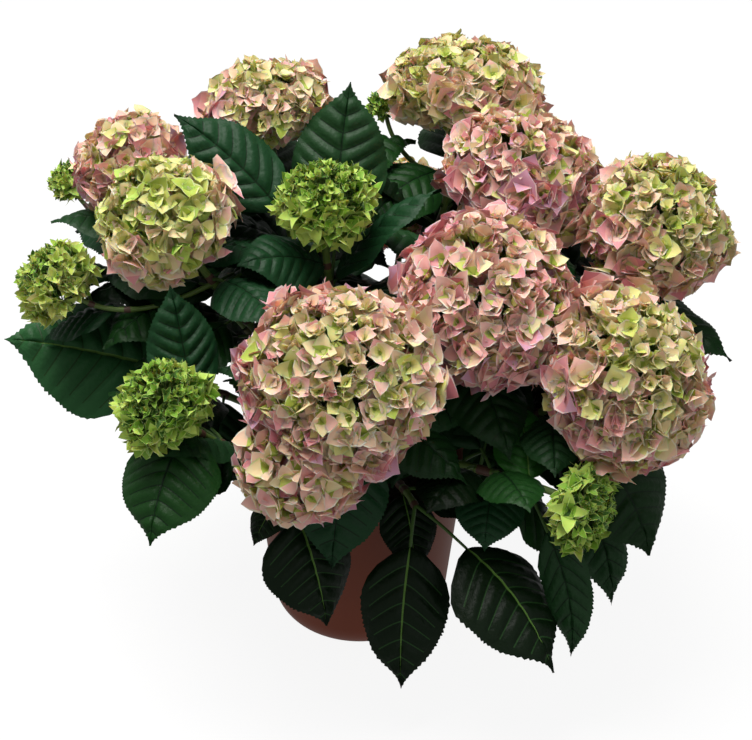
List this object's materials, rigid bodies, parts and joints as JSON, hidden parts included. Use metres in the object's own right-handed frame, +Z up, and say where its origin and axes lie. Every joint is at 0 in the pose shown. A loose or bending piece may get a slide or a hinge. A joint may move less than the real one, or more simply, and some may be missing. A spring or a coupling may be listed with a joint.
{
  "type": "potted bigleaf hydrangea",
  "caption": "Bushy flowering shrub in a plain round pot, with mophead flower heads and broad toothed leaves. It stands on the pot's flat base.",
  "frame": {"origin": "middle of the pot's flat underside, on the surface that the pot stands on", "axes": "+Z up along the pot's axis; -Y towards the side that shows most flower heads; +X to the right when that side is faced"},
  "size_m": [0.6716, 0.5755, 0.5456],
  "materials": {
    "pot": "matte",
    "soil": "rough",
    "bark": "rough",
    "stem": "matte",
    "foliage": "satin",
    "blossom": "matte"
  },
  "bodies": {
    "root": {"pot": "pot", "soil": "soil", "crown": "bark", "bough_back_left_top": "stem", "bough_left_upper": "stem", "bough_left_middle": "stem", "bough_back_right_top": "stem", "bough_right_upper": "stem", "bough_right_outer": "stem", "bough_centre_right": "stem", "bough_front_centre": "stem", "bough_right_front": "stem", "bough_middle_green": "stem", "bough_left_front_green": "stem", "bough_right_low_green": "stem", "bough_back_left_low": "stem", "bough_back_low": "stem", "bough_back_right_low": "stem", "bough_low_front_left": "stem", "bough_low_front": "stem", "bough_low_left": "stem", "bough_low_right": "stem", "mass_back_left_top": "blossom", "mass_left_upper": "blossom", "mass_left_middle": "blossom", "mass_back_right_top": "blossom", "mass_right_upper": "blossom", "mass_right_outer": "blossom", "mass_centre_right": "blossom", "mass_front_centre": "blossom", "mass_right_front": "blossom", "mass_middle_green": "blossom", "mass_left_front_green": "blossom", "mass_right_low_green": "blossom", "mass_back_left_low": "blossom", "mass_back_low": "blossom", "mass_back_right_low": "blossom", "mass_low_front_left": "foliage", "mass_low_front": "foliage", "mass_low_left": "foliage", "mass_low_right": "foliage"}
  },
  "joints": []
}
